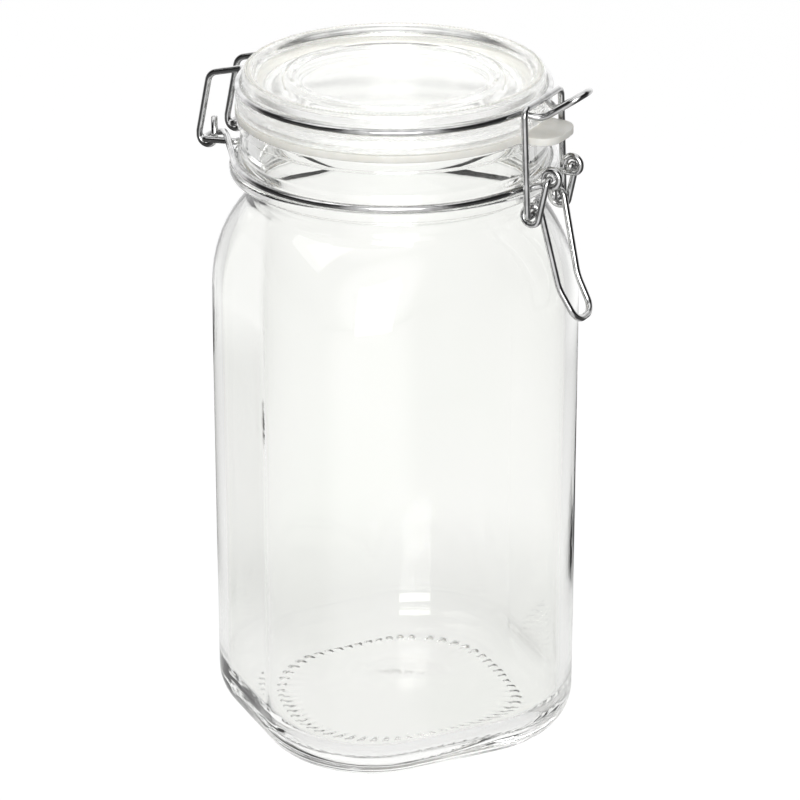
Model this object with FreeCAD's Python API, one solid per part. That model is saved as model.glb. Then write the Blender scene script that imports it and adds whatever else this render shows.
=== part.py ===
"""Lidded glass canister: square jar, hinged glass lid, rubber seal and wire clamp.

Millimetres. +Z is up, the origin is on the jar's axis at the foot, the clamp is at -Y and the hinge at +Y.
"""
import math
import os

import FreeCAD
import Part

# Driving dimensions of the jar: a rounded square body, turned against the clamp
BODY_HALF = 52.6
BODY_CORNER = 37.5
BODY_TURN = 52.75
BODY_HEIGHT = 146.0
HEEL_RADIUS = 13.5
SHOULDER_RISE = 32.5
SHOULDER_SWEEP = 48.0
WALL = 4.2
BASE_THICKNESS = 7.5
INNER_HEEL = 11.0
PUSH_UP_RADIUS = 31.0
PUSH_UP_DEPTH = 3.0

# Driving dimensions of the neck, from the mouth outward and from the shoulder upward
MOUTH_RADIUS = 40.6
NECK_WALL = 3.6
BEAD_REACH = 6.8
BEAD_RISE = 8.5
BEAD_HEIGHT = 3.0
GROOVE_DEPTH = 2.35
GROOVE_HEIGHT = 2.3
WAIST_DEPTH = 0.95
WAIST_RISE = 2.2
LIP_REACH = 0.7
LIP_RISE = 12.4
LIP_HEIGHT = 2.82

# Driving dimensions of the seal
SEAL_GAP = 0.03
SEAL_THICKNESS = 2.4
SEAL_OVERHANG = 0.6
SEAL_INSET = 0.2
TAB_RADIUS = 11.0
TAB_INSET = 1.5
TAB_SHIFT = 0.5

# Driving dimensions of the lid
PLUG_CLEARANCE = 1.2
PLUG_DEPTH = 6.15
PLUG_WIDTH = 4.9
DISH_DEPTH = 2.45
FLANGE_OVERHANG = 0.4
FLANGE_HEIGHT = 4.55
LID_GROOVE_DEPTH = 1.95
LID_GROOVE_HEIGHT = 3.8
RIM_HEIGHT = 3.2
RIM_WIDTH = 3.0
RIM_TAPER = 0.25
BAND_DEPTH = 2.6
RIDGE_INSET = 14.6
RIDGE_HEIGHT = 1.4

# Driving dimensions of the wires
WIRE = 2.1
WIRE_CLEARANCE = 0.1
HINGE_REACH = 10.9
HOOK_RADIUS = 2.75
HOOK_X = 8.75
HOOK_END = 6.8
EYELET_OUT = 12.2
EYELET_IN = 4.2
PIVOT_REACH = 6.55
PIVOT_RISE = 5.0
EYE_RADIUS = 2.65
EYE_X = 7.45
COIL_INSET = 5.35
COIL_DROP = 12.0
COIL_RADIUS = 2.75
COIL_OUT_X = 10.4
COIL_IN_X = 8.2
KNEE_CLEARANCE = 1.7
KNEE_DROP = 35.2
KNEE_X = 6.6
TIP_CLEARANCE = 7.5
TIP_DROP = 45.4
TIP_X = 5.4
CROSSBAR_REACH = 2.75
CROSSBAR_DROP = 2.15
LOOP_X = 12.65
LOOP_STUB_X = 6.0
LOOP_STUB = 3.7
BEAK_REACH = 17.4
BEAK_RISE = 2.0
BEAK_HALF = 5.0
BEAK_LOW_REACH = 5.0
BEAK_LOW_DROP = 2.0

# Heights that follow, from the foot up
SHOULDER_START = BODY_HEIGHT
SHOULDER_END = SHOULDER_START + SHOULDER_RISE
BEAD_LOW = SHOULDER_END + BEAD_RISE
BEAD_TOP = BEAD_LOW + BEAD_HEIGHT
GROOVE_TOP = BEAD_TOP + GROOVE_HEIGHT
WAIST_LOW = GROOVE_TOP + WAIST_RISE
LIP_LOW = BEAD_TOP + LIP_RISE
LAND = LIP_LOW + LIP_HEIGHT
SEAL_LOW = LAND + SEAL_GAP
SEAL_TOP = SEAL_LOW + SEAL_THICKNESS
LID_FLANGE_TOP = SEAL_TOP + FLANGE_HEIGHT
LID_GROOVE_TOP = LID_FLANGE_TOP + LID_GROOVE_HEIGHT
LID_TOP = LID_GROOVE_TOP + RIM_HEIGHT
LID_BAND = LID_TOP - BAND_DEPTH
LID_PLUG_LOW = SEAL_TOP - PLUG_DEPTH
LID_DISH = SEAL_TOP - DISH_DEPTH

# Radii that follow, from the mouth out
NECK_RADIUS = MOUTH_RADIUS + NECK_WALL
BEAD_RADIUS = NECK_RADIUS + BEAD_REACH
GROOVE_RADIUS = BEAD_RADIUS - GROOVE_DEPTH
WAIST_RADIUS = GROOVE_RADIUS - WAIST_DEPTH
LIP_RADIUS = WAIST_RADIUS + LIP_REACH
SEAL_OUTER = LIP_RADIUS + SEAL_OVERHANG
SEAL_INNER = MOUTH_RADIUS - SEAL_INSET
TAB_REACH = SEAL_OUTER - TAB_INSET
LID_PLUG = MOUTH_RADIUS - PLUG_CLEARANCE
LID_FLANGE = LIP_RADIUS + FLANGE_OVERHANG
LID_GROOVE = LID_FLANGE - LID_GROOVE_DEPTH
LID_RIM = LID_GROOVE - RIM_TAPER
LID_RIDGE = LID_RIM - RIDGE_INSET

# Places of the wires that follow
LID_RING = LID_GROOVE + WIRE / 2 + WIRE_CLEARANCE
LID_RING_Z = LID_FLANGE_TOP + WIRE + 0.2
NECK_RING = GROOVE_RADIUS + WIRE / 2 + WIRE_CLEARANCE
NECK_RING_Z = BEAD_TOP + WIRE / 2 + WIRE_CLEARANCE
HINGE_Y = BEAD_RADIUS + HINGE_REACH
HINGE_Z = BEAD_TOP
PIVOT_Y = -BEAD_RADIUS - PIVOT_REACH
PIVOT_Z = BEAD_TOP + PIVOT_RISE
COIL_Y = PIVOT_Y + COIL_INSET
COIL_Z = PIVOT_Z - COIL_DROP
CROSSBAR_Y = -LID_RING - CROSSBAR_REACH
CROSSBAR_Z = LID_TOP - CROSSBAR_DROP
BEAK_TIP_Y = -LID_RING - BEAK_REACH
BEAK_TIP_Z = LID_TOP + BEAK_RISE
BEAK_LOW_Y = -LID_RING - BEAK_LOW_REACH
BEAK_LOW_Z = LID_RING_Z - BEAK_LOW_DROP

V = FreeCAD.Vector
UP = V(0, 0, 1)
ORIGIN = V(0, 0, 0)


# Sections of the jar
def square_wire(half, corner, z):
    """A square with rounded corners at height z, turned with the jar's body."""
    edges = []
    flat = half - corner
    bow = corner * math.sqrt(0.5)
    for k in range(4):
        turn = FreeCAD.Rotation(UP, BODY_TURN + 90.0 * k)
        start = V(half, -flat, z)
        end = V(half, flat, z)
        middle = V(flat + bow, flat + bow, z)
        after = V(flat, half, z)
        points = [turn.multVec(p) for p in (start, end, middle, after)]
        edges.append(Part.LineSegment(points[0], points[1]).toShape())
        edges.append(Part.Arc(points[1], points[2], points[3]).toShape())
    return Part.Wire(Part.__sortEdges__(edges))


def body_reach():
    """Distance from the axis to the body's wall, in the direction of the clamp."""
    side = math.radians((BODY_TURN + 45.0) % 90.0 - 45.0)
    flat = BODY_HALF - BODY_CORNER
    along = flat * (math.cos(side) + math.sin(abs(side)))
    return along + math.sqrt(BODY_CORNER ** 2 - 2 * flat ** 2 + along ** 2)


def shoulder_loft(half, corner, end_radius, low, high):
    """The shoulder: the rounded square drawn in to a round neck on a rising curve."""
    sections = []
    steps = 6
    sweep = math.radians(SHOULDER_SWEEP)
    for k in range(steps + 1):
        angle = sweep * k / steps
        inward = (1 - math.cos(angle)) / (1 - math.cos(sweep))
        rise = math.sin(angle) / math.sin(sweep)
        here = half + (end_radius - half) * inward
        bend = corner + (end_radius - 0.5 - corner) * inward
        sections.append(square_wire(here, bend, low + (high - low) * rise))
    return Part.makeLoft(sections, True, False)


def block(half, corner, low, high, heel):
    """A rounded square column whose lower edge is rounded by the heel radius."""
    solid = Part.Face(square_wire(half, corner, low)).extrude(V(0, 0, high - low))
    edges = [e for e in solid.Edges if abs(e.BoundBox.ZMax - low) < 1e-6]
    return solid.makeFillet(heel, edges)


def rounded_outline(points):
    """A closed outline of (radius, height, corner radius) points with its corners rounded."""
    count = len(points)
    edges = []
    ends = []
    for k in range(count):
        before = V(points[k - 1][0], 0, points[k - 1][1])
        here = V(points[k][0], 0, points[k][1])
        after = V(points[(k + 1) % count][0], 0, points[(k + 1) % count][1])
        ends.append(corner_arc(before, here, after, points[k][2]))
    for k in range(count):
        first = ends[k]
        second = ends[(k + 1) % count]
        if first[1] is not None:
            edges.append(first[1])
        if first[2].distanceToPoint(second[0]) > 1e-6:
            edges.append(Part.LineSegment(first[2], second[0]).toShape())
    return Part.Wire(Part.__sortEdges__(edges))


def turned_round(points):
    """A solid of revolution about Z from an outline with rounded corners."""
    return Part.Face(rounded_outline(points)).revolve(ORIGIN, UP, 360)


# Bent wire
def corner_arc(before, here, after, radius):
    """The start, arc and end of a bend at a corner of a path."""
    inward = (before - here).normalize()
    onward = (after - here).normalize()
    cosine = max(-1.0, min(1.0, inward.dot(onward)))
    opening = math.acos(cosine)
    if radius <= 0 or opening > math.pi - 1e-4:
        return here, None, here
    reach = radius / math.tan(opening / 2)
    start = here + inward * reach
    end = here + onward * reach
    bisector = (inward + onward).normalize()
    centre = here + bisector * (radius / math.sin(opening / 2))
    middle = centre - bisector * radius
    return start, Part.Arc(start, middle, end).toShape(), end


def wire_path(points):
    """A path of straight runs and bends from (point, bend radius) pairs."""
    edges = []
    last = points[0][0]
    for k in range(1, len(points) - 1):
        start, arc, end = corner_arc(points[k - 1][0], points[k][0], points[k + 1][0], points[k][1])
        if last.distanceToPoint(start) > 1e-4:
            edges.append(Part.LineSegment(last, start).toShape())
        if arc is not None:
            edges.append(arc)
        last = end
    if last.distanceToPoint(points[-1][0]) > 1e-4:
        edges.append(Part.LineSegment(last, points[-1][0]).toShape())
    return Part.Wire(edges)


def rod(points):
    """Round wire swept along a bent path."""
    path = wire_path(points)
    start = points[0][0]
    along = points[1][0] - points[0][0]
    profile = Part.Wire(Part.Circle(start, along, WIRE / 2).toShape())
    solid = path.makePipeShell([profile], True, False)
    if solid.Volume < 0:
        solid.reverse()
    return solid


def both_sides(half):
    """The path of a whole wire from the path of its +X half, which starts at the middle plane."""
    other = [(V(-p.x, p.y, p.z), bend) for p, bend in half]
    return other[::-1] + half


def ring_corner(radius, first, second, z):
    """The corner where the tangents at two azimuths of a ring meet."""
    reach = radius / math.cos(math.radians(first - second) / 2)
    middle = math.radians(first + second) / 2
    return V(reach * math.cos(middle), reach * math.sin(middle), z)


def ring_point(radius, azimuth, z):
    """A point of a ring."""
    angle = math.radians(azimuth)
    return V(radius * math.cos(angle), radius * math.sin(angle), z)


# The jar's body
def make_jar_body():
    """Thick glass jar with a square body, a round neck and a lip."""
    body = block(BODY_HALF, BODY_CORNER, 0.0, SHOULDER_START, HEEL_RADIUS)
    shoulder = shoulder_loft(BODY_HALF, BODY_CORNER, NECK_RADIUS + 0.3, SHOULDER_START, SHOULDER_END)
    inner = MOUTH_RADIUS - 10.6
    root = SHOULDER_END - 13.5
    slope = 0.41 * BEAD_REACH
    neck = turned_round([
        (inner, root, 0),
        (NECK_RADIUS - 0.6, root, 0),
        (NECK_RADIUS, SHOULDER_END, 0),
        (NECK_RADIUS, BEAD_LOW - slope, 2.0),
        (BEAD_RADIUS, BEAD_LOW, 1.0),
        (BEAD_RADIUS, BEAD_TOP, 1.0),
        (GROOVE_RADIUS, BEAD_TOP, 0),
        (GROOVE_RADIUS, GROOVE_TOP, 1.5),
        (WAIST_RADIUS, WAIST_LOW, 2.0),
        (WAIST_RADIUS, LIP_LOW - 1.0, 0.6),
        (LIP_RADIUS, LIP_LOW, 0.5),
        (LIP_RADIUS, LAND, 0.7),
        (inner, LAND, 0),
    ])
    outside = body.fuse(shoulder).fuse(neck)
    inner_half = BODY_HALF - WALL
    inner_corner = BODY_CORNER - WALL
    hollow = block(inner_half, inner_corner, BASE_THICKNESS, SHOULDER_START, INNER_HEEL)
    inner_shoulder = shoulder_loft(inner_half, inner_corner, MOUTH_RADIUS + 0.2, SHOULDER_START, SHOULDER_END - 1.0)
    mouth = turned_round([
        (0.0, SHOULDER_END - 28.5, 0),
        (MOUTH_RADIUS - 4.0, SHOULDER_END - 28.5, 0),
        (MOUTH_RADIUS, SHOULDER_END - 6.5, 0),
        (MOUTH_RADIUS, LAND - 0.9, 0),
        (MOUTH_RADIUS + 0.9, LAND, 0),
        (MOUTH_RADIUS + 0.9, LAND + 2.0, 0),
        (0.0, LAND + 2.0, 0),
    ])
    inside = hollow.fuse(inner_shoulder).fuse(mouth)
    dome_radius = (PUSH_UP_RADIUS ** 2 + PUSH_UP_DEPTH ** 2) / (2 * PUSH_UP_DEPTH)
    dome = Part.makeSphere(dome_radius, V(0, 0, PUSH_UP_DEPTH - dome_radius))
    return outside.cut(inside).cut(dome).removeSplitter()


# The lid
def make_lid_glass():
    """Pressed glass lid: plug, flange, wire groove, rim, sunk band and centre ridge."""
    plug_inner = LID_PLUG - PLUG_WIDTH
    ridge_top = LID_BAND + RIDGE_HEIGHT
    return turned_round([
        (0.0, LID_DISH, 0),
        (plug_inner - 4.5, LID_DISH, 2.0),
        (plug_inner, LID_PLUG_LOW, 1.0),
        (LID_PLUG - 0.6, LID_PLUG_LOW, 1.0),
        (LID_PLUG, SEAL_TOP, 0),
        (LID_FLANGE, SEAL_TOP, 0.8),
        (LID_FLANGE, LID_FLANGE_TOP, 1.4),
        (LID_GROOVE, LID_FLANGE_TOP + 1.0, 0.9),
        (LID_GROOVE, LID_GROOVE_TOP, 0.6),
        (LID_RIM, LID_TOP, 1.3),
        (LID_RIM - RIM_WIDTH, LID_TOP, 1.2),
        (LID_RIM - RIM_WIDTH - 1.0, LID_BAND, 0.8),
        (LID_RIDGE + 1.6, LID_BAND, 0.7),
        (LID_RIDGE + 0.8, ridge_top, 0.5),
        (LID_RIDGE - 0.8, ridge_top, 0.5),
        (LID_RIDGE - 1.8, ridge_top - 1.0, 0.8),
        (0.0, ridge_top - 0.4, 0),
    ])


# The seal
def make_gasket():
    """Flat rubber ring with a round pull tab under the clamp."""
    height = SEAL_TOP - SEAL_LOW
    ring = Part.makeCylinder(SEAL_OUTER, height, V(0, 0, SEAL_LOW))
    tab = Part.makeCylinder(TAB_RADIUS, height, V(TAB_SHIFT, -TAB_REACH, SEAL_LOW))
    hole = Part.makeCylinder(SEAL_INNER, height + 2, V(0, 0, SEAL_LOW - 1))
    return ring.fuse(tab).removeSplitter().cut(hole)


# The lid's wire
def make_lid_wire():
    """One wire: beak at the front, ring in the lid's groove, two arms with hooks at the back."""
    z = LID_RING_Z
    leave = -77.0
    arrive = 74.0
    out = ring_point(LID_RING, leave, z)
    tangent = V(math.sin(math.radians(leave)), -math.cos(math.radians(leave)), 0)
    back = ring_point(LID_RING, arrive, z)
    back_tangent = V(-math.sin(math.radians(arrive)), math.cos(math.radians(arrive)), 0)
    reach = (back.x - HOOK_X) / -back_tangent.x
    half = [
        (V(BEAK_HALF, BEAK_TIP_Y, BEAK_TIP_Z), 4.4),
        (V(BEAK_HALF, BEAK_LOW_Y, BEAK_LOW_Z), 4.5),
        (out + tangent * 2.6, 3.5),
        (ring_corner(LID_RING, leave, -40.0, z), LID_RING),
        (ring_corner(LID_RING, -40.0, 0.0, z), LID_RING),
        (ring_corner(LID_RING, 0.0, 40.0, z), LID_RING),
        (ring_corner(LID_RING, 40.0, arrive, z), LID_RING),
        (back + back_tangent * reach, 3.0),
        (V(HOOK_X, HINGE_Y - 1.3, LID_RING_Z - 3.5), 4.0),
        (V(HOOK_X, HINGE_Y + HOOK_RADIUS, HINGE_Z + 1.5), 3.0),
        (V(HOOK_X, HINGE_Y + HOOK_RADIUS, HINGE_Z - HOOK_RADIUS), HOOK_RADIUS - 0.01),
        (V(HOOK_X, HINGE_Y - HOOK_RADIUS, HINGE_Z - HOOK_RADIUS), HOOK_RADIUS - 0.01),
        (V(HOOK_X, HINGE_Y - HOOK_RADIUS, HINGE_Z + HOOK_END), 0),
    ]
    return rod(both_sides(half))


# The neck's wire
def make_neck_wire():
    """One wire: ring under the bead, two crossed eyelets for the hinge, two eyes for the clamp."""
    z = NECK_RING_Z
    eyelet_in = V(EYELET_IN + 1.8, HINGE_Y - 4.6, z + 0.05)
    spread = math.degrees(math.acos(NECK_RING / math.hypot(eyelet_in.x, eyelet_in.y)))
    join = math.degrees(math.atan2(eyelet_in.y, eyelet_in.x)) - spread
    tangent_point = ring_point(NECK_RING, join, z)
    crossing = eyelet_in + (tangent_point - eyelet_in) * 0.28
    crossing.z = z + 1.35
    back = math.radians(80.0)
    turn_out = EYELET_OUT + 0.4
    leave = -74.0
    out = ring_point(NECK_RING, leave, z)
    tangent = V(math.sin(math.radians(leave)), -math.cos(math.radians(leave)), 0)
    eye_low = PIVOT_Z - EYE_RADIUS
    eye_high = PIVOT_Z + EYE_RADIUS
    eye_out = PIVOT_Y - EYE_RADIUS
    eye_in = PIVOT_Y + EYE_RADIUS
    bend = EYE_RADIUS - 0.01
    half = [
        (ring_corner(NECK_RING, 90.0, 80.0, z), NECK_RING - 0.05),
        (V(turn_out, (NECK_RING - turn_out * math.cos(back)) / math.sin(back), z), 1.8),
        (V(EYELET_OUT + 0.1, NECK_RING + 2.8, z - 0.25), 3.0),
        (V(EYELET_OUT, HINGE_Y, HINGE_Z), 2.2),
        (V(EYELET_IN, HINGE_Y, HINGE_Z), 2.2),
        (eyelet_in, 2.5),
        (crossing, 6.0),
        (ring_corner(NECK_RING, join, 10.0, z), NECK_RING - 0.3),
        (ring_corner(NECK_RING, 10.0, -32.0, z), NECK_RING),
        (ring_corner(NECK_RING, -32.0, leave, z), NECK_RING),
        (out + tangent * 4.5, 3.0),
        (V(EYE_X, PIVOT_Y + 2.95, eye_low), 4.0),
        (V(EYE_X, eye_out, eye_low), bend),
        (V(EYE_X, eye_out, eye_high), bend),
        (V(EYE_X, eye_in, eye_high), bend),
        (V(EYE_X, eye_in, PIVOT_Z - 0.3), 0),
    ]
    return rod(both_sides(half))


# The clamp's lever
def make_clasp_lever():
    """One wire: ends through the neck's eyes, a coil on each side for the loop, and the U handle."""
    pivot = V(0, PIVOT_Y, PIVOT_Z)
    coil = V(0, COIL_Y, COIL_Z)
    distance = (coil - pivot).Length
    lean = math.atan2(pivot.z - coil.z, pivot.y - coil.y)
    touch = lean + math.acos(COIL_RADIUS / distance)
    # The strand runs from the pivot to the outer side of the coil, which it meets at the angle touch.
    strand_end = V(0, COIL_Y + COIL_RADIUS * math.cos(touch), COIL_Z + COIL_RADIUS * math.sin(touch))
    along = (strand_end - pivot).normalize()
    side = V(0, -along.z, along.y)
    if (coil - strand_end).dot(side) < 0:
        side = side * -1
    r = COIL_RADIUS
    step = (COIL_OUT_X - COIL_IN_X) / 4
    first = strand_end + along * r
    second = first + side * (2 * r)
    third = second - along * (2 * r)
    reach = body_reach()
    knee = V(KNEE_X, -reach - KNEE_CLEARANCE, PIVOT_Z - KNEE_DROP)
    tip = V(TIP_X, -reach - TIP_CLEARANCE, PIVOT_Z - TIP_DROP)
    leave = third - side * (1.55 * r)
    bend = r - 0.03
    half = [
        (tip, 4.6),
        (knee, 16.0),
        (leave + V(COIL_IN_X, 0, 0), bend),
        (third + V(COIL_OUT_X - 2.6 * step, 0, 0), bend),
        (second + V(COIL_OUT_X - step, 0, 0), bend),
        (first + V(COIL_OUT_X, 0, 0), bend),
        (V(COIL_OUT_X, PIVOT_Y, PIVOT_Z), 1.7),
        (V(4.6, PIVOT_Y, PIVOT_Z), 0),
    ]
    return rod(both_sides(half))


# The clamp's loop
def make_clasp_loop():
    """One wire: crossbar over the beak, two legs, and hooks through the lever's coils."""
    top = V(0, CROSSBAR_Y, CROSSBAR_Z)
    low = V(0, COIL_Y, COIL_Z)
    rise = (top - low).normalize()
    half = [
        (top + V(LOOP_X, 0, 0), 2.4),
        (low + V(LOOP_X, 0, 0), 1.7),
        (low + V(LOOP_STUB_X, 0, 0), 1.7),
        (low + V(LOOP_STUB_X, 0, 0) + rise * LOOP_STUB, 0),
    ]
    return rod(both_sides(half))


# Export
NODES = {
    "jar_body": make_jar_body,
    "lid_glass": make_lid_glass,
    "gasket": make_gasket,
    "lid_wire": make_lid_wire,
    "neck_wire": make_neck_wire,
    "clasp_lever": make_clasp_lever,
    "clasp_loop": make_clasp_loop,
}

os.makedirs("parts", exist_ok=True)
for node, maker in NODES.items():
    shape = maker()
    solid = shape.Solids[0] if len(shape.Solids) == 1 else shape
    solid.exportStep("parts/" + node + ".step")
    box = solid.BoundBox
    print(node, len(shape.Solids), solid.isValid(), round(solid.Volume), [round(v, 1) for v in (box.XMin, box.XMax, box.YMin, box.YMax, box.ZMin, box.ZMax)])
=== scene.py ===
# %% [markdown]
# Lidded glass canister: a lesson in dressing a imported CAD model.
# The canister has a square glass jar, a pressed glass lid, a rubber seal and four bent wires.
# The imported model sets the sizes, the places and the joints. This script gives the pieces smooth
# skins, finishes, light and a camera. Where a skin strays from the model, its step says so, and the
# outer box stays the model's.

# %% Load the frame
import math

import bmesh
import bpy
import numpy as np
from mathutils import Matrix, Vector


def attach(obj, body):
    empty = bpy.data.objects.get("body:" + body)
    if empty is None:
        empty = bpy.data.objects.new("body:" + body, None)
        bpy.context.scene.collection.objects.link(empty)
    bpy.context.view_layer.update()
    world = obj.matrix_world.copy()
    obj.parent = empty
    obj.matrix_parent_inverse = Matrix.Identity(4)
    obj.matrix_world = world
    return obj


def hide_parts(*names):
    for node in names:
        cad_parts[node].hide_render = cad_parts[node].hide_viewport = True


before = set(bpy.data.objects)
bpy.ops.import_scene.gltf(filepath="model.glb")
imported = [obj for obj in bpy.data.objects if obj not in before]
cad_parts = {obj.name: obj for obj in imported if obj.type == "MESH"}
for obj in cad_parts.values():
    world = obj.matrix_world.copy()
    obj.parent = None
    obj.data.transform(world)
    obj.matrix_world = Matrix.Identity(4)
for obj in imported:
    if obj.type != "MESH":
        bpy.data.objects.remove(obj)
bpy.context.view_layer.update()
MM = 0.001

# %% [markdown]
# The camera comes first, because every later comparison depends on it.
# A long lens stands about 1.2 m from the jar's middle and looks down by 23 degrees.
# Its axes were fitted to the rings of the lid, seal and neck, which are true circles on the object.

# %% Camera
CAMERA_PLACE = Vector((-1.0004, -0.53192, 0.58549))
CAMERA_RIGHT = Vector((0.467892, -0.883785, -0.000489))
CAMERA_UP = Vector((0.343033, 0.181097, 0.921701))
CAMERA_AHEAD = Vector((0.814497, 0.431424, -0.387901))
FOCAL_PIXELS = 3870.47
FRAME_PIXELS = 800
SENSOR_WIDTH = 36.0
NEAREST_SEEN = 0.05
FARTHEST_SEEN = 50.0
camera_data = bpy.data.cameras.new("camera")
camera_data.sensor_width = SENSOR_WIDTH
camera_data.lens = SENSOR_WIDTH * FOCAL_PIXELS / FRAME_PIXELS
camera_data.clip_start = NEAREST_SEEN
camera_data.clip_end = FARTHEST_SEEN
camera = bpy.data.objects.new("camera", camera_data)
bpy.context.scene.collection.objects.link(camera)
turn = Matrix((CAMERA_RIGHT, CAMERA_UP, -CAMERA_AHEAD)).transposed()
camera.matrix_world = Matrix.Translation(CAMERA_PLACE) @ turn.to_4x4()
bpy.context.scene.camera = camera
print("lens", round(camera_data.lens, 2), "mm")

# %% [markdown]
# Node trees are easier to read when a formula stays a formula. These helpers add a node or two
# each and can be nested like functions. They serve shader and geometry trees alike.

# %% Node helpers
def feed(tree, value, socket):
    """Set a socket to a plain number, or link it to another node's output."""
    if isinstance(value, (int, float)):
        socket.default_value = value
    else:
        tree.links.new(value, socket)


def reckon(tree, operation, *values):
    """A Math node fed with numbers or outputs."""
    node = tree.nodes.new("ShaderNodeMath")
    node.operation = operation
    for value, socket in zip(values, node.inputs):
        feed(tree, value, socket)
    return node.outputs[0]


def fade(tree, value, start, end, low, high):
    """A smooth change from low to high while a value goes from start to end."""
    node = tree.nodes.new("ShaderNodeMapRange")
    node.interpolation_type = "SMOOTHSTEP"
    labels = ("Value", "From Min", "From Max", "To Min", "To Max")
    for label, given in zip(labels, (value, start, end, low, high)):
        feed(tree, given, node.inputs[label])
    return node.outputs["Result"]


def choose(tree, mask, where_one, where_zero):
    """A mix of two values by a mask: the first where it is one, the second where it is zero."""
    gap = reckon(tree, "SUBTRACT", where_one, where_zero)
    return reckon(tree, "MULTIPLY_ADD", mask, gap, where_zero)


def vector_node(tree, operation, vector):
    """A Vector Math node with its first input linked."""
    node = tree.nodes.new("ShaderNodeVectorMath")
    node.operation = operation
    tree.links.new(vector, node.inputs[0])
    return node


def along(tree, vector, way):
    """How far a vector goes along a fixed way."""
    node = vector_node(tree, "DOT_PRODUCT", vector)
    node.inputs[1].default_value = tuple(way)
    return node.outputs["Value"]


print("node helpers ready")

# %% [markdown]
# Glass shows every facet, because light bends at each one. The imported triangles are made for
# size and collision, so the jar and the lid get smooth skins of their own instead.
# Each skin is a grid: rows of stations along the profile, each station a ring of points.
# A station is a rounded square, and a circle is just a rounded square whose corner is all of it.

# %% Rings and profiles
RING_POINTS = 480
azimuths = np.arange(RING_POINTS) * 2 * math.pi / RING_POINTS


def ring_radius(half, corner, azimuth):
    """Distance from the axis to a rounded square, in the direction of an azimuth from its face."""
    folded = (azimuth + math.pi / 4) % (math.pi / 2) - math.pi / 4
    side = abs(folded)
    flat = half - corner
    if math.tan(side) * half <= flat:
        return half / math.cos(side)
    reach = flat * (math.cos(side) + math.sin(side))
    return reach + math.sqrt(max(0.0, corner ** 2 - 2 * flat ** 2 + reach ** 2))


def rounded(points, steps=4):
    """A line of (radius, height, bend) points with its bends turned to arcs of short runs."""
    out = []
    for k, (r, z, bend) in enumerate(points):
        here = np.array((r, z), float)
        if bend <= 0 or k in (0, len(points) - 1):
            out.append(tuple(here))
            continue
        back = np.array(points[k - 1][:2]) - here
        on = np.array(points[k + 1][:2]) - here
        back = back / np.linalg.norm(back)
        on = on / np.linalg.norm(on)
        opening = math.acos(np.clip(back @ on, -1, 1))
        reach = bend / math.tan(opening / 2)
        middle = (back + on) / np.linalg.norm(back + on)
        centre = here + middle * bend / math.sin(opening / 2)
        start = here + back * reach - centre
        end = here + on * reach - centre
        sweep = math.pi - opening
        for t in np.linspace(0, 1, steps + 1):
            spoke = math.sin((1 - t) * sweep) * start + math.sin(t * sweep) * end
            out.append(tuple(centre + spoke / math.sin(sweep)))
    return out


print(RING_POINTS, "points in a ring")

# %% [markdown]
# Rings become a mesh when each is joined to the next. The first and last ring of the jar and the
# lid are small and end in a point, so that the skin is closed. Doubles are joined before the
# normals are worked out, and only edges sharper than a limit stay sharp.

# %% Grids
JOIN_DISTANCE = 0.001 * MM
SHARP_ANGLE = math.radians(50)


def smooth_piece(name, mesh):
    """An object for a mesh, with its doubles joined, its faces outward and its curves smooth."""
    work = bmesh.new()
    work.from_mesh(mesh)
    bmesh.ops.remove_doubles(work, verts=work.verts, dist=JOIN_DISTANCE)
    bmesh.ops.recalc_face_normals(work, faces=work.faces)
    work.to_mesh(mesh)
    work.free()
    mesh.shade_smooth()
    mesh.set_sharp_from_angle(angle=SHARP_ANGLE)
    piece = bpy.data.objects.new(name, mesh)
    bpy.context.scene.collection.objects.link(piece)
    print(name, len(mesh.polygons), "faces")
    return piece


def grid_piece(name, rings, closed_ends):
    """A smooth piece from rings of points. Closed ends join the first and last ring to a point."""
    count = len(rings[0])
    points = [tuple(p) for ring in rings for p in ring]
    faces = []
    for k in range(len(rings) - 1):
        for i in range(count):
            j = (i + 1) % count
            faces.append((k * count + i, k * count + j, (k + 1) * count + j, (k + 1) * count + i))
    if closed_ends:
        for row in (0, len(rings) - 1):
            points.append(tuple(np.mean(np.array(rings[row]), axis=0)))
            tip = len(points) - 1
            for i in range(count):
                faces.append((row * count + i, row * count + (i + 1) % count, tip))
    mesh = bpy.data.meshes.new(name)
    mesh.from_pydata(points, [], faces)
    return smooth_piece(name, mesh)


print("sharp from", round(math.degrees(SHARP_ANGLE)), "degrees")

# %% [markdown]
# The jar's skin has sections that come back: a heel, a straight wall and a shoulder, each once
# outside and once inside. So each section is a function that gives its stations. A station is
# half the square's width, its corner radius and its height, in millimetres.

# %% Jar sections
HEEL_STATIONS = 13
SHOULDER_STATIONS = 15
SHOULDER_SWEEP = math.radians(48.0)
LAST_FLAT = 0.5


def heel_stations(half, corner, radius, base):
    """Stations round a heel, from the flat under it up to the straight wall."""
    out = []
    for t in np.linspace(0, math.pi / 2, HEEL_STATIONS):
        inset = radius * (1 - math.sin(t))
        out.append((half - inset, corner - inset, base + radius * (1 - math.cos(t))))
    return out


def wall_stations(half, corner, low, high, count):
    """Stations up a straight wall, without its lower end."""
    return [(half, corner, z) for z in np.linspace(low, high, count)[1:]]


def shoulder_stations(half, corner, end, low, high):
    """Stations over the shoulder, from the square wall to the round neck, without the first."""
    last_corner = end - LAST_FLAT
    out = []
    for t in np.linspace(0, 1, SHOULDER_STATIONS)[1:]:
        angle = SHOULDER_SWEEP * t
        inward = (1 - math.cos(angle)) / (1 - math.cos(SHOULDER_SWEEP))
        rise = math.sin(angle) / math.sin(SHOULDER_SWEEP)
        here = half + (end - half) * inward
        out.append((here, corner + (last_corner - corner) * inward, low + (high - low) * rise))
    return out


print("sections ready")

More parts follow.
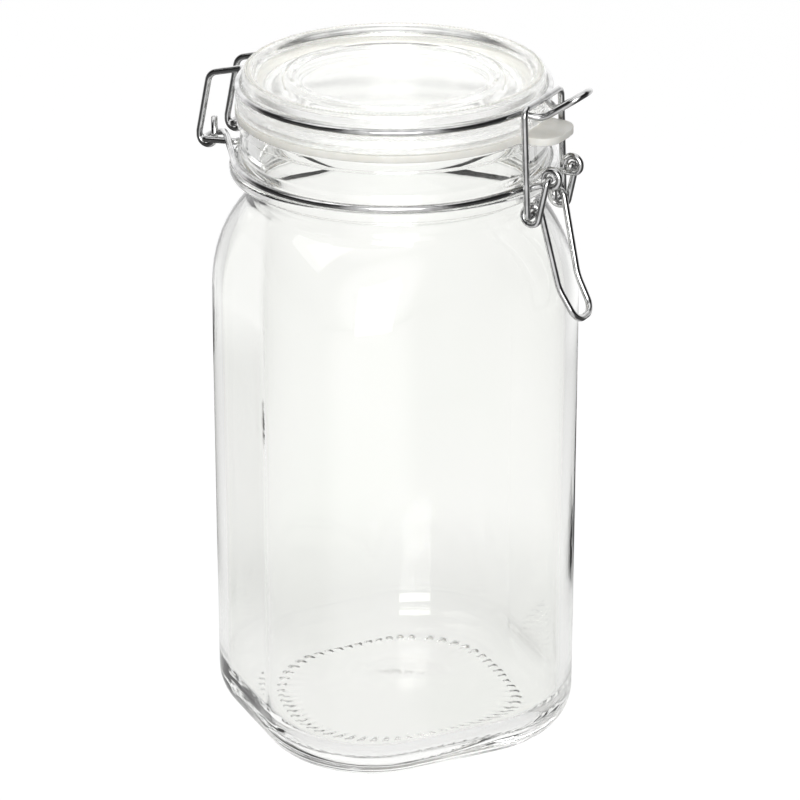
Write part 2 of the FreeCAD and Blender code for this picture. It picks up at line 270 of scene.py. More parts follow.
# %% [markdown]
# The outside starts at the middle of the push-up under the foot, crosses the ring of knurls, goes
# round the heel and up the square wall, and draws in over the shoulder to the round neck with its
# bead and its sealing lip. Its values are the CAD model's own, with small bends at corners that
# the solid leaves sharp, and with a push-up that is 0.6 mm shallower and fades out at its edge.

# %% Jar outside
BODY_HALF = 52.6
BODY_CORNER = 37.5
HEEL = 13.5
SHOULDER_START = 146.0
SHOULDER_END = 178.5
OUTER_WALL_STATIONS = 8
PUSH_UP = 31.0
PUSH_UP_DEPTH = 2.4
PUSH_UP_STATIONS = 14
JAR_POLE = 1.0
KNURL_HALF = 38.9
KNURL_CORNER = 31.0
KNURL_BAND = 3.4
KNURL_STATIONS = 9
NECK = 44.2
NECK_FLARE = 0.3
NECK_LOW = SHOULDER_END + 0.4
BEAD = 51.0
BEAD_TOP = 190.0
WIRE_SEAT = 48.65
COLLAR = 47.7
LIP = 48.4
LAND = 205.22
MOUTH = 40.6
MOUTH_BREAK = 0.9
BORE_TOP = LAND - 2.0

outside = []
for r in np.linspace(JAR_POLE, PUSH_UP, PUSH_UP_STATIONS):
    outside.append((r, r, PUSH_UP_DEPTH * (1 - (r / PUSH_UP) ** 2) ** 2))
knurl_start = len(outside)
for inset in np.linspace(KNURL_BAND, 0.0, KNURL_STATIONS):
    outside.append((KNURL_HALF - inset, KNURL_CORNER - inset, 0.0))
outside += heel_stations(BODY_HALF, BODY_CORNER, HEEL, 0.0)
outside += wall_stations(BODY_HALF, BODY_CORNER, HEEL, SHOULDER_START, OUTER_WALL_STATIONS)
outside += shoulder_stations(BODY_HALF, BODY_CORNER, NECK + NECK_FLARE, SHOULDER_START, SHOULDER_END)
neck_line = rounded([
    (NECK, NECK_LOW, 0),
    (NECK, 184.2, 2.0),
    (BEAD, 187.0, 1.0),
    (BEAD, BEAD_TOP, 1.0),
    (WIRE_SEAT, BEAD_TOP, 0.4),
    (WIRE_SEAT, 192.3, 1.5),
    (COLLAR, 194.5, 2.0),
    (COLLAR, 201.4, 0.6),
    (LIP, 202.4, 0.5),
    (LIP, LAND, 0.7),
    (MOUTH + MOUTH_BREAK, LAND, 0.5),
    (MOUTH, LAND - MOUTH_BREAK, 0.5),
    (MOUTH, BORE_TOP, 0),
])
outside += [(r, r, z) for r, z in neck_line]
print(len(outside), "stations outside")

# %% [markdown]
# The inside strays from the CAD model: the wall and the bore by up to half a millimetre, and the
# floor, which follows the push-up, by about two. Blown glass is never evenly thick, and that
# unevenness draws the soft streaks in a clear jar. The wall's stray is a sum of three slow waves.

# %% Jar inside
WALL = 4.2
FLOOR_THICKNESS = 7.5
INNER_HEEL = 11.0
INNER_RISE = 2.1
INNER_FLOOR_SPAN = (0.03, 0.97)
INNER_FLOOR_STATIONS = 12
INNER_WALL_STATIONS = 16
BORE_LOW = SHOULDER_END - 1.0
BORE_FLARE = 0.2
NECK_BARREL = 0.5
NECK_STATIONS = 16
WALL_WAVE = 0.20
# Each wave has its share, its turns round the jar, its climb per millimetre and its start.
WAVES = ((1.0, 2, 0.021, 0.6), (0.4, 6, -0.034, 0.0), (0.25, 3, 0.11, 1.0))


def uneven(azimuth, z):
    """How far the inner wall strays, in millimetres: nothing at the floor and at the neck."""
    share = (z - FLOOR_THICKNESS) / (SHOULDER_END - FLOOR_THICKNESS)
    swell = math.sin(math.pi * min(max(share, 0.0), 1.0))
    waves = [part * math.sin(turns * azimuth + climb * z + start) for part, turns, climb, start in WAVES]
    return WALL_WAVE * swell * sum(waves)


bore = []
for t in np.linspace(0, 1, NECK_STATIONS)[1:-1]:
    r = MOUTH + NECK_BARREL * math.sin(math.pi * t) ** 2
    bore.append((r, r, BORE_TOP + (BORE_LOW - BORE_TOP) * t))
inner_half = BODY_HALF - WALL
inner_corner = BODY_CORNER - WALL
inside = []
for t in np.linspace(*INNER_FLOOR_SPAN, INNER_FLOOR_STATIONS):
    rise = INNER_RISE * (1 - t ** 2) ** 2
    inside.append(((inner_half - INNER_HEEL) * t, (inner_corner - INNER_HEEL) * t, FLOOR_THICKNESS + rise))
inside += heel_stations(inner_half, inner_corner, INNER_HEEL, FLOOR_THICKNESS)
inner_wall_low = FLOOR_THICKNESS + INNER_HEEL
inside += wall_stations(inner_half, inner_corner, inner_wall_low, SHOULDER_START, INNER_WALL_STATIONS)
inside += shoulder_stations(inner_half, inner_corner, MOUTH + BORE_FLARE, SHOULDER_START, BORE_LOW)[:-1]
print(len(bore) + len(inside), "stations inside")

# %% [markdown]
# One skin takes all stations in turn: up the outside, down the bore and down the inside. The square
# body is turned against the clamp, as on the real jar. An attribute marks the band under the foot
# that carries the knurls, strongest at its middle, so that a later step can press them in.

# %% Jar skin
BODY_TURN = math.radians(52.75)
KNURL_FULLNESS = 0.7


def body_ring(half, corner, z, wave):
    """One station of the jar as points in metres, with the inner wall's stray where wave is one."""
    ring = []
    for a in azimuths:
        r = ring_radius(half, corner, a) + wave * uneven(a, z)
        ring.append((r * MM * math.cos(a + BODY_TURN), r * MM * math.sin(a + BODY_TURN), z * MM))
    return ring


jar_rings = [body_ring(half, corner, z, 0) for half, corner, z in outside + bore]
jar_rings += [body_ring(half, corner, z, 1) for half, corner, z in inside[::-1]]
jar = grid_piece("jar_skin", jar_rings, True)
knurl_share = np.zeros(len(jar.data.vertices))
for k in range(KNURL_STATIONS):
    row = (knurl_start + k) * RING_POINTS
    knurl_share[row:row + RING_POINTS] = math.sin(math.pi * k / (KNURL_STATIONS - 1)) ** KNURL_FULLNESS
band = jar.data.attributes.new("knurl_band", "FLOAT", "POINT")
band.data.foreach_set("value", knurl_share)

# %% [markdown]
# The lid is round everywhere, so its skin is a turned profile: plug, flange, wire groove, rim,
# sunk band and a low ridge round the middle. Pressed glass has no crisp corners, so the bends here
# are softer than the solid's, and the ridge is half a millimetre lower.

# %% Lid skin
LID_POLE = 0.4
HOLLOW_LEVEL = 205.2
PLUG_LOW = 201.5
FLANGE = 48.8
FLANGE_LOW = 207.65
GROOVE = 46.85
RIM_TOP = 219.2
BAND_LEVEL = 216.6
RIDGE_TOP = 217.5
lid_line = rounded([
    (LID_POLE, HOLLOW_LEVEL, 0),
    (30.0, HOLLOW_LEVEL, 5.0),
    (34.5, PLUG_LOW, 3.0),
    (38.8, PLUG_LOW, 1.2),
    (39.4, FLANGE_LOW, 0.3),
    (FLANGE, FLANGE_LOW, 0.8),
    (FLANGE, 212.2, 1.4),
    (GROOVE, 213.2, 0.9),
    (GROOVE, 216.0, 0.6),
    (46.6, RIM_TOP, 1.4),
    (43.6, RIM_TOP, 1.5),
    (42.6, BAND_LEVEL, 1.6),
    (34.4, BAND_LEVEL, 4.0),
    (32.7, RIDGE_TOP, 1.2),
    (31.3, RIDGE_TOP, 1.2),
    (29.6, 216.9, 4.0),
    (LID_POLE, 217.6, 0),
], steps=5)
lid_rings = []
for r, z in lid_line:
    lid_rings.append([(r * MM * math.cos(a), r * MM * math.sin(a), z * MM) for a in azimuths])
lid = grid_piece("lid_skin", lid_rings, True)

# %% [markdown]
# The seal is a flat ring cut from one sheet with its pull tab. Its outline is a circle, with the
# tab's end and rounded corners where those reach further out. The end is blunter than the solid's
# round one, as on the real seal, and a few rounds of smoothing soften the tab's root.

# %% Seal outline
SEAL_OUTER = 49.0
TAB_MIDDLE = 0.5
TAB_HALF_WIDTH = 10.2
TAB_END = 58.5
TAB_CORNER = 6.5
TAB_CORNER_POINTS = 13
TAB_ROOT = SEAL_OUTER - 2.0
ROOT_SMOOTHINGS = 3
SEAL_POINTS = 1080


def tab_outline():
    """Points along the tab, from one flank round its end to the other, towards -Y."""
    points = [(TAB_MIDDLE - TAB_HALF_WIDTH, -TAB_ROOT)]
    for side, start in ((-1, math.pi), (1, 1.5 * math.pi)):
        centre = TAB_MIDDLE + side * (TAB_HALF_WIDTH - TAB_CORNER)
        for t in np.linspace(start, start + math.pi / 2, TAB_CORNER_POINTS):
            x = centre + TAB_CORNER * math.cos(t)
            points.append((x, TAB_CORNER - TAB_END + TAB_CORNER * math.sin(t)))
    points.append((TAB_MIDDLE + TAB_HALF_WIDTH, -TAB_ROOT))
    return np.array(points)


seal_azimuths = np.arange(SEAL_POINTS) * 2 * math.pi / SEAL_POINTS - math.pi
tab = tab_outline()
tab_azimuths = np.arctan2(tab[:, 1], tab[:, 0])
tab_reach = np.interp(seal_azimuths, tab_azimuths, np.hypot(tab[:, 0], tab[:, 1]), left=0, right=0)
edge = np.maximum(SEAL_OUTER, tab_reach)
for k in range(ROOT_SMOOTHINGS):
    edge = (np.roll(edge, 1) + edge + np.roll(edge, -1)) / 3
print("tab reaches", round(float(edge.max()), 1), "mm")

# %% [markdown]
# The seal's section is a slab with slightly broken edges, so the outline is carried round that
# section ring by ring. A hair of air stays between rubber and lid: with none, the glass would show
# the rubber where a real lid mirrors the light.

# %% Seal skin
SEAL_INNER = 40.4
SEAL_LOW = 205.25
SEAL_AIR = 0.08
SEAL_TOP = FLANGE_LOW - SEAL_AIR
SEAL_EDGE = 0.25
SEAL_EDGE_POINTS = 4
seal_rings = []
for side, level, start in ((1, SEAL_LOW, -1), (1, SEAL_TOP, 0), (-1, SEAL_TOP, 1), (-1, SEAL_LOW, 2)):
    lift = SEAL_EDGE if level == SEAL_LOW else -SEAL_EDGE
    for t in np.linspace(0, math.pi / 2, SEAL_EDGE_POINTS):
        angle = t + start * math.pi / 2
        z = level + lift + SEAL_EDGE * math.sin(angle)
        radii = (edge if side > 0 else SEAL_INNER) - side * SEAL_EDGE + SEAL_EDGE * math.cos(angle)
        flat = np.broadcast_to(radii, seal_azimuths.shape) * MM
        xs = flat * np.cos(seal_azimuths)
        ys = flat * np.sin(seal_azimuths)
        seal_rings.append([(x, y, z * MM) for x, y in zip(xs, ys)])
seal_rings.append(seal_rings[0])
seal = grid_piece("seal_skin", seal_rings, False)

# %% [markdown]
# The wires keep their CAD shape, since a swept round wire is already right. A copy has its loose
# triangles joined and its normals smoothed, so that the bright streaks run along the wire unbroken.

# %% Wire skins
WIRES = {"lid_wire": "lid", "neck_wire": "jar", "clasp_lever": "lever", "clasp_loop": "loop"}
wire_skins = {}
for node in WIRES:
    wire_skins[node] = smooth_piece(node + "_skin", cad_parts[node].data.copy())

# %% [markdown]
# Glass is never perfectly even: the mould leaves slow ripples that bend what is seen through it.
# One node group makes ripples from noise, and every finish uses it with its own values: mould
# marks on glass, grain on rubber, scratches on wire. A second group gives a speckle, which varies
# the tint of every finish and the roughness of rubber and wire.

# %% Shader groups
NOISE_SPAN = (0.3, 0.7)


def new_group(name, inputs, output, kind):
    """An empty shader group with named number inputs and one named output."""
    group = bpy.data.node_groups.new(name, "ShaderNodeTree")
    for label, value in inputs:
        socket = group.interface.new_socket(label, in_out="INPUT", socket_type="NodeSocketFloat")
        socket.default_value = value
    group.interface.new_socket(output, in_out="OUTPUT", socket_type=kind)
    return group, group.nodes.new("NodeGroupInput").outputs, group.nodes.new("NodeGroupOutput").inputs


def object_noise(tree, scale, detail):
    """Noise on Object coordinates."""
    place = tree.nodes.new("ShaderNodeTexCoord")
    noise = tree.nodes.new("ShaderNodeTexNoise")
    noise.inputs["Detail"].default_value = detail
    tree.links.new(place.outputs["Object"], noise.inputs["Vector"])
    feed(tree, scale, noise.inputs["Scale"])
    return noise.outputs["Fac"]


ripple, given, result = new_group(
    "mould_ripple", [("Scale", 40.0), ("Fine Scale", 300.0), ("Fine Share", 0.1), ("Strength", 0.1)],
    "Normal", "NodeSocketVector")
slow = object_noise(ripple, given["Scale"], detail=1.0)
fine = object_noise(ripple, given["Fine Scale"], detail=2.0)
fine = reckon(ripple, "MULTIPLY", fine, given["Fine Share"])
bump = ripple.nodes.new("ShaderNodeBump")
bump.inputs["Distance"].default_value = MM
ripple.links.new(reckon(ripple, "ADD", slow, fine), bump.inputs["Height"])
ripple.links.new(given["Strength"], bump.inputs["Strength"])
ripple.links.new(bump.outputs["Normal"], result["Normal"])

speckle, given, result = new_group(
    "fine_speckle", [("Scale", 900.0), ("Low", 0.1), ("High", 0.3)], "Value", "NodeSocketFloat")
grains = object_noise(speckle, given["Scale"], detail=3.0)
speckle.links.new(fade(speckle, grains, *NOISE_SPAN, given["Low"], given["High"]), result["Value"])
print("groups", ripple.name, speckle.name)

# %% [markdown]
# A material is a Principled shader with group nodes in front of it. These helpers start one, place
# a group with its values, and mix two colours by a mask.

# %% Material helpers
def new_material(name):
    """A node material, its tree and its Principled shader."""
    material = bpy.data.materials.new(name)
    material.use_nodes = True
    return material, material.node_tree, material.node_tree.nodes["Principled BSDF"]


def place_group(tree, group, **values):
    """A group node in a material's tree, with its inputs set. Underscores stand for spaces."""
    node = tree.nodes.new("ShaderNodeGroup")
    node.node_tree = group
    for label, value in values.items():
        node.inputs[label.replace("_", " ")].default_value = value
    return node.outputs[0]


def mixed_colour(tree, mask, first, second, socket):
    """A colour that goes from first to second with a mask of zero to one."""
    mix = tree.nodes.new("ShaderNodeMix")
    mix.data_type = "RGBA"
    mix.inputs["A"].default_value = (*first, 1.0)
    mix.inputs["B"].default_value = (*second, 1.0)
    tree.links.new(mask, mix.inputs["Factor"])
    tree.links.new(mix.outputs["Result"], socket)


print("material helpers ready")

# %% [markdown]
# Clear glass is a Principled shader with full transmission. Soda glass has a trace of warm green.
# The shader lays its tint on wherever light crosses a surface, so the green gathers where a ray
# crosses many, as at rim and foot. The blown jar is smooth, and the pressed lid is a little rough,
# which blurs what lies under it.

# %% Glass
GLASS_PALE = (0.990, 0.991, 0.978)
GLASS_DEEP = (0.972, 0.979, 0.958)
GLASS_IOR = 1.5
JAR_ROUGHNESS = 0.0
LID_ROUGHNESS = 0.09


def clear_glass(name, roughness, **ripple_values):
    """Clear soda glass with mould ripples and a slow drift of its tint."""
    material, tree, shader = new_material(name)
    drift = place_group(tree, speckle, Scale=14.0, Low=0.0, High=1.0)
    mixed_colour(tree, drift, GLASS_PALE, GLASS_DEEP, shader.inputs["Base Color"])
    shader.inputs["Roughness"].default_value = roughness
    shader.inputs["IOR"].default_value = GLASS_IOR
    shader.inputs["Transmission Weight"].default_value = 1.0
    tree.links.new(place_group(tree, ripple, **ripple_values), shader.inputs["Normal"])
    print("made", name)
    return material


jar_glass = clear_glass(
    "jar_glass_clear", JAR_ROUGHNESS, Scale=26.0, Fine_Scale=190.0, Fine_Share=0.05, Strength=0.16)
lid_glass = clear_glass(
    "lid_glass_clear", LID_ROUGHNESS, Scale=45.0, Fine_Scale=320.0, Fine_Share=0.05, Strength=0.05)

# %% [markdown]
# The seal is milky natural rubber. Light soaks a little way into it, so it has some subsurface
# scattering, and a fine speckle breaks up its tint and its dull sheen.

# %% Rubber
RUBBER_PALE = (0.90, 0.885, 0.83)
RUBBER_DEEP = (0.83, 0.815, 0.75)
RUBBER_SOAK = 0.25
RUBBER_REACH = (0.004, 0.0035, 0.003)
rubber, tree, shader = new_material("seal_rubber")
clouds = place_group(tree, speckle, Scale=160.0, Low=0.0, High=1.0)
mixed_colour(tree, clouds, RUBBER_PALE, RUBBER_DEEP, shader.inputs["Base Color"])
shader.inputs["Subsurface Weight"].default_value = RUBBER_SOAK
shader.inputs["Subsurface Radius"].default_value = RUBBER_REACH
shader.inputs["Subsurface Scale"].default_value = 1.0
sheen = place_group(tree, speckle, Scale=700.0, Low=0.38, High=0.62)
tree.links.new(sheen, shader.inputs["Roughness"])
grain = place_group(tree, ripple, Scale=420.0, Fine_Scale=1500.0, Fine_Share=0.4, Strength=0.05)
tree.links.new(grain, shader.inputs["Normal"])
print("made", rubber.name)

# %% [markdown]
# The wire is hard-drawn steel: a grey metal, bright but not a mirror. Drawing leaves faint
# scratches and dull patches, so both the tint and the roughness wander over it.

# %% Wire
WIRE_PALE = (0.56, 0.56, 0.56)
WIRE_DARK = (0.40, 0.40, 0.40)
wire_metal, tree, shader = new_material("wire_bright")
patches = place_group(tree, speckle, Scale=230.0, Low=0.0, High=1.0)
mixed_colour(tree, patches, WIRE_PALE, WIRE_DARK, shader.inputs["Base Color"])
shader.inputs["Metallic"].default_value = 1.0
sheen = place_group(tree, speckle, Scale=1400.0, Low=0.06, High=0.16)
tree.links.new(sheen, shader.inputs["Roughness"])
scratches = place_group(tree, ripple, Scale=900.0, Fine_Scale=3500.0, Fine_Share=0.5, Strength=0.03)
tree.links.new(scratches, shader.inputs["Normal"])
print("made", wire_metal.name)

# %% [markdown]
# Two things repeat on this object: the knurls pressed into the ring that the foot stands on, and a
# fine line of beads round the lid's edge. Both suit Geometry Nodes. A tree is built here with named
# inputs, run once on its piece, and the result is kept as a plain mesh.

# %% Geometry Nodes helpers
def new_tree(name, inputs):
    """An empty geometry tree with named inputs, its group input and its group output."""
    tree = bpy.data.node_groups.new(name, "GeometryNodeTree")
    tree.interface.new_socket("Geometry", in_out="INPUT", socket_type="NodeSocketGeometry")
    for label, kind in inputs:
        tree.interface.new_socket(label, in_out="INPUT", socket_type=kind)
    tree.interface.new_socket("Geometry", in_out="OUTPUT", socket_type="NodeSocketGeometry")
    return tree, tree.nodes.new("NodeGroupInput").outputs, tree.nodes.new("NodeGroupOutput").inputs


def shift_up(tree, geometry, height):
    """The geometry with its points moved up by a height."""
    offset = tree.nodes.new("ShaderNodeCombineXYZ")
    moved = tree.nodes.new("GeometryNodeSetPosition")
    tree.links.new(height, offset.inputs["Z"])
    tree.links.new(geometry, moved.inputs["Geometry"])
    tree.links.new(offset.outputs["Vector"], moved.inputs["Offset"])
    return moved.outputs["Geometry"]


def close_tree(tree, geometry, material, result):
    """End a tree in Realize Instances and Set Material."""
    realize = tree.nodes.new("GeometryNodeRealizeInstances")
    painted = tree.nodes.new("GeometryNodeSetMaterial")
    tree.links.new(geometry, realize.inputs["Geometry"])
    tree.links.new(realize.outputs["Geometry"], painted.inputs["Geometry"])
    tree.links.new(material, painted.inputs["Material"])
    tree.links.new(painted.outputs["Geometry"], result["Geometry"])


def apply_tree(piece, tree, **values):
    """Run a tree on a piece and keep the result as its plain mesh."""
    modifier = piece.modifiers.new(tree.name, "NODES")
    modifier.node_group = tree
    for item in tree.interface.items_tree:
        label = item.name.replace(" ", "_")
        if item.in_out == "INPUT" and label in values:
            modifier[item.identifier] = values[label]
    depsgraph = bpy.context.evaluated_depsgraph_get()
    mesh = bpy.data.meshes.new_from_object(piece.evaluated_get(depsgraph))
    piece.modifiers.clear()
    piece.data = mesh
    print(piece.name, "after", tree.name, len(mesh.polygons), "faces")


print("geometry helpers ready")

# %% [markdown]
# Moulded jars often stand on a ring of small ribs, which takes the scuffs. The dents between the
# ribs lie in a surface that is already there, so this tree moves points by a formula: a wave round
# the foot, flattened at its tops and bottoms, times the share that the marked band gives.

# %% Knurls under the foot
KNURL_COUNT = 60.0
KNURL_DEPTH = 0.7 * MM
KNURL_CREST = (-0.4, 0.9)
knurl, given, result = new_tree("knurl_ring", [
    ("Count", "NodeSocketFloat"), ("Depth", "NodeSocketFloat"), ("Material", "NodeSocketMaterial")])
where = knurl.nodes.new("ShaderNodeSeparateXYZ")
knurl.links.new(knurl.nodes.new("GeometryNodeInputPosition").outputs["Position"], where.inputs["Vector"])
angle = reckon(knurl, "ARCTAN2", where.outputs["Y"], where.outputs["X"])
wave = reckon(knurl, "COSINE", reckon(knurl, "MULTIPLY", angle, given["Count"]))
crest = fade(knurl, wave, *KNURL_CREST, 0.0, 1.0)
share = knurl.nodes.new("GeometryNodeInputNamedAttribute")
share.data_type = "FLOAT"
share.inputs["Name"].default_value = "knurl_band"
height = reckon(knurl, "MULTIPLY", crest, share.outputs["Attribute"])
height = reckon(knurl, "MULTIPLY", height, given["Depth"])
dented = shift_up(knurl, given["Geometry"], height)
close_tree(knurl, dented, given["Material"], result)
apply_tree(jar, knurl, Count=KNURL_COUNT, Depth=KNURL_DEPTH, Material=jar_glass)

# %% [markdown]
# The beads on the lid's rim are copies of one small ball, so this tree places instances on the
# points of a circle. A ball this small needs only a few dozen faces.

# %% Beads round the lid's edge
LID_BEAD_COUNT = 216
LID_BEAD_RING = 45.5 * MM
LID_BEAD_LEVEL = 219.1 * MM
LID_BEAD_RADIUS = 0.45 * MM
BALL_SEGMENTS = 8
BALL_RINGS = 5
beads, given, result = new_tree("bead_line", [
    ("Count", "NodeSocketInt"), ("Ring Radius", "NodeSocketFloat"), ("Height", "NodeSocketFloat"),
    ("Bead Radius", "NodeSocketFloat"), ("Material", "NodeSocketMaterial")])
circle = beads.nodes.new("GeometryNodeMeshCircle")
beads.links.new(given["Count"], circle.inputs["Vertices"])
beads.links.new(given["Ring Radius"], circle.inputs["Radius"])
raised = shift_up(beads, circle.outputs["Mesh"], given["Height"])
ball = beads.nodes.new("GeometryNodeMeshUVSphere")
ball.inputs["Segments"].default_value = BALL_SEGMENTS
ball.inputs["Rings"].default_value = BALL_RINGS
beads.links.new(given["Bead Radius"], ball.inputs["Radius"])
copies = beads.nodes.new("GeometryNodeInstanceOnPoints")
beads.links.new(raised, copies.inputs["Points"])
beads.links.new(ball.outputs["Mesh"], copies.inputs["Instance"])
close_tree(beads, copies.outputs["Instances"], given["Material"], result)
bead_line = bpy.data.objects.new("lid_beads", bpy.data.meshes.new("lid_beads"))
bpy.context.scene.collection.objects.link(bead_line)
apply_tree(
    bead_line, beads, Count=LID_BEAD_COUNT, Ring_Radius=LID_BEAD_RING, Height=LID_BEAD_LEVEL,
    Bead_Radius=LID_BEAD_RADIUS, Material=lid_glass)
bead_line.data.shade_smooth()

# %% [markdown]
# Everything now rides on its body. Each skin takes its CAD node's place, and the node is hidden but kept.

# %% Dress the bodies
SKINS = [
    (jar, "jar", "jar_body", jar_glass, "jar_glass"),
    (lid, "lid", "lid_glass", lid_glass, "lid_glass"),
    (seal, "lid", "gasket", rubber, "seal"),
]
for node, body in WIRES.items():
    SKINS.append((wire_skins[node], body, node, wire_metal, "wire"))
for piece, body, node, material, slot in SKINS:
    piece.data.materials.clear()
    piece.data.materials.append(material)
    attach(piece, body)
    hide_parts(node)
    print(piece.name, "rides on", body)
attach(bead_line, "lid")

# %% [markdown]
# A white studio. What is seen directly is white. Seen through glass, the white has a grey flag at
# eye level on either side, and flags draw the edges of clear glass. Metal and the gloss of glass
# see the room: a bright window behind the camera, a bright ceiling, a bright backdrop, and dimness
# elsewhere, which makes polished wire look dark with bright streaks.

# %% World
WORLD_LIGHT = 0.38
FLAG_DARK = 0.5
FLAG_SIDE = (0.65, 0.9)
FLAG_LEVEL = (0.15, 0.55)
ROOM_DIM = 0.03
PANEL_LIGHT = 1.5
WINDOW_EDGE = (0.78, 0.93)
CEILING_EDGE = (0.75, 0.93)
BACKDROP_EDGE = (0.3, 0.8)
UPWARD = Vector((0, 0, 1))
BACKWARD = CAMERA_RIGHT.cross(UPWARD) * -1
world = bpy.data.worlds.new("studio")
bpy.context.scene.world = world
world.use_nodes = True
tree = world.node_tree
sky = tree.nodes["Background"]
sky.inputs["Color"].default_value = (1.0, 1.0, 1.0, 1.0)
look = tree.nodes.new("ShaderNodeTexCoord").outputs["Generated"]
sideways = reckon(tree, "ABSOLUTE", along(tree, look, CAMERA_RIGHT))
steepness = reckon(tree, "ABSOLUTE", along(tree, look, UPWARD))
flag = fade(tree, sideways, *FLAG_SIDE, 0.0, 1.0)
flag = reckon(tree, "MULTIPLY", flag, fade(tree, steepness, *FLAG_LEVEL, 1.0, 0.0))
through_glass = choose(tree, flag, FLAG_DARK, 1.0)
window = fade(tree, along(tree, look, -CAMERA_AHEAD), *WINDOW_EDGE, ROOM_DIM, PANEL_LIGHT)
ceiling = fade(tree, along(tree, look, UPWARD), *CEILING_EDGE, ROOM_DIM, PANEL_LIGHT)
backdrop = fade(tree, along(tree, look, BACKWARD), *BACKDROP_EDGE, ROOM_DIM, PANEL_LIGHT)
mirrored = reckon(tree, "MAXIMUM", backdrop, reckon(tree, "MAXIMUM", window, ceiling))
path = tree.nodes.new("ShaderNodeLightPath").outputs
level = choose(tree, path["Is Glossy Ray"], mirrored, WORLD_LIGHT)
level = choose(tree, path["Is Transmission Ray"], through_glass, level)
level = choose(tree, path["Is Camera Ray"], 1.0, level)
tree.links.new(level, sky.inputs["Strength"])
print("backdrop lies towards", tuple(round(v, 3) for v in BACKWARD))

# %% [markdown]
# The floor is one sheet of white paper. It lies a hair below the foot, because two surfaces in the
# same place would flicker. Glass throws no shadow on it: real clear glass passes nearly all light.

# %% Floor
FLOOR_SIZE = 8.0
FLOOR_DROP = 0.05 * MM
corners = [(-1, -1), (1, -1), (1, 1), (-1, 1)]
floor_points = [(x * FLOOR_SIZE, y * FLOOR_SIZE, -FLOOR_DROP) for x, y in corners]
floor_mesh = bpy.data.meshes.new("floor")
floor_mesh.from_pydata(floor_points, [], [(0, 1, 2, 3)])
floor = bpy.data.objects.new("floor", floor_mesh)
bpy.context.scene.collection.objects.link(floor)
for clear in (jar, lid, bead_line):
    clear.visible_shadow = False
print("floor", FLOOR_SIZE, "m each way")

# %% [markdown]
# The paper glows white for the camera, and its diffuse part takes the shadow of wires and seal.
# Through glass its glow has painted shade: a little darker close under the jar, greyer far to the
# sides. In a mirror it is dark, apart from three bright places: round the jar, in a strip in front,
# which puts the bright streak on upright wires, and far behind, which keeps the shoulder's edge light.

# %% Paper
FLOOR_GLOW = 0.92
PAPER_GREY = (0.16, 0.16, 0.16, 1.0)
FLOOR_SHADE = 0.72
SHADE_EDGE = (0.075, 0.18)
FLOOR_SIDE_SHADE = 0.65
FLOOR_SIDE_SHADE_EDGE = (0.12, 0.40)
FLOOR_IN_METAL = 1.0
STRIP_EDGE = (0.72, 0.95)
BEHIND_EDGE = (-0.6, -0.2)
FAR_EDGE = (0.33, 0.43)
NEAR_EDGE = (0.10, 0.16)
paper = bpy.data.materials.new("white_paper")
paper.use_nodes = True
tree = paper.node_tree
tree.nodes.clear()
place = tree.nodes.new("ShaderNodeTexCoord").outputs["Object"]
distance = vector_node(tree, "LENGTH", place).outputs["Value"]
aside = reckon(tree, "ABSOLUTE", along(tree, place, CAMERA_RIGHT))
outward = vector_node(tree, "NORMALIZE", place).outputs["Vector"]
frontward = along(tree, outward, -BACKWARD)
# Painted shade: the glow seen through glass dims close under the jar and far to the sides.
painted_shade = fade(tree, distance, *SHADE_EDGE, FLOOR_SHADE, FLOOR_GLOW)
painted_shade = reckon(tree, "MULTIPLY", painted_shade, fade(tree, aside, *FLOOR_SIDE_SHADE_EDGE, 1.0, FLOOR_SIDE_SHADE))
strip = fade(tree, frontward, *STRIP_EDGE, 0.0, FLOOR_IN_METAL)
behind = fade(tree, frontward, *BEHIND_EDGE, FLOOR_IN_METAL, 0.0)
behind = reckon(tree, "MULTIPLY", behind, fade(tree, distance, *FAR_EDGE, 0.0, 1.0))
near = fade(tree, distance, *NEAR_EDGE, FLOOR_SHADE, 0.0)
mirrored = reckon(tree, "MAXIMUM", near, reckon(tree, "MAXIMUM", strip, behind))
path = tree.nodes.new("ShaderNodeLightPath").outputs
level = reckon(tree, "MULTIPLY", path["Is Glossy Ray"], mirrored)
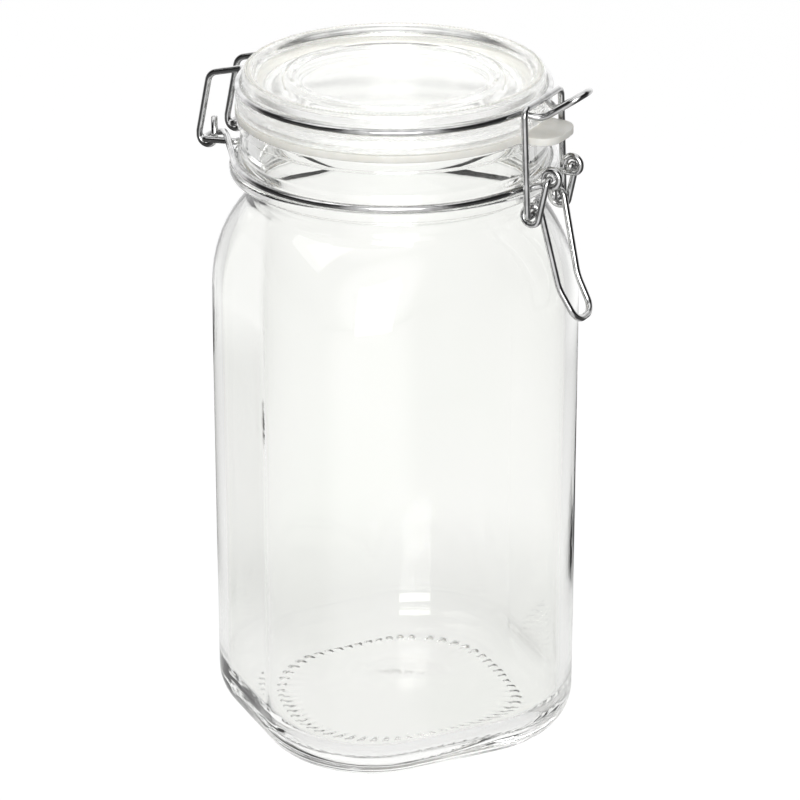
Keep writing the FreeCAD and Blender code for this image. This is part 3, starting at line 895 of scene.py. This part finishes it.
level = choose(tree, path["Is Transmission Ray"], painted_shade, level)
level = choose(tree, path["Is Camera Ray"], FLOOR_GLOW, level)
surface = tree.nodes.new("ShaderNodeBsdfDiffuse")
surface.inputs["Color"].default_value = PAPER_GREY
glow = tree.nodes.new("ShaderNodeEmission")
both = tree.nodes.new("ShaderNodeAddShader")
out = tree.nodes.new("ShaderNodeOutputMaterial")
tree.links.new(level, glow.inputs["Strength"])
tree.links.new(surface.outputs[0], both.inputs[0])
tree.links.new(glow.outputs[0], both.inputs[1])
tree.links.new(both.outputs[0], out.inputs["Surface"])
floor_mesh.materials.append(paper)
print("made", paper.name)

# %% [markdown]
# Two large soft lamps add direction to the even light of the room: a key just behind and below the
# camera, which lights upright faces more than flat ones, and a weaker one high up on the left.

# %% Lamps
LAMP_AIM = Vector((0, 0, 0.12))
LAMP_SIZE = 0.8


def soft_lamp(name, place, power):
    """A square area lamp that faces the jar."""
    data = bpy.data.lights.new(name, "AREA")
    data.size = LAMP_SIZE
    data.energy = power
    lamp = bpy.data.objects.new(name, data)
    lamp.location = place
    lamp.rotation_mode = "QUATERNION"
    lamp.rotation_quaternion = (LAMP_AIM - Vector(place)).to_track_quat("-Z", "Y")
    bpy.context.scene.collection.objects.link(lamp)
    print(name, power, "W")


soft_lamp("front_lamp", place=(-1.15, -0.65, 0.45), power=13.0)
soft_lamp("top_lamp", place=(-0.6, 0.7, 1.3), power=3.0)

# %% [markdown]
# A ray in thick glass bounces many times before it leaves. Blender's usual limits cut such a ray
# off and leave it black, which would blacken the lid's rim, so the limits are raised.

# %% Light bounces
MOST_BOUNCES = 32
MIRROR_BOUNCES = 16
bounces = bpy.context.scene.cycles
bounces.max_bounces = MOST_BOUNCES
bounces.glossy_bounces = MIRROR_BOUNCES
bounces.transmission_bounces = MOST_BOUNCES
print("bounces", bounces.max_bounces)

# %% [markdown]
# The Standard view shows a colour about as it is written, which a white studio needs.

# %% Colour settings
bpy.context.scene.view_settings.view_transform = "Standard"
print("view transform", bpy.context.scene.view_settings.view_transform)
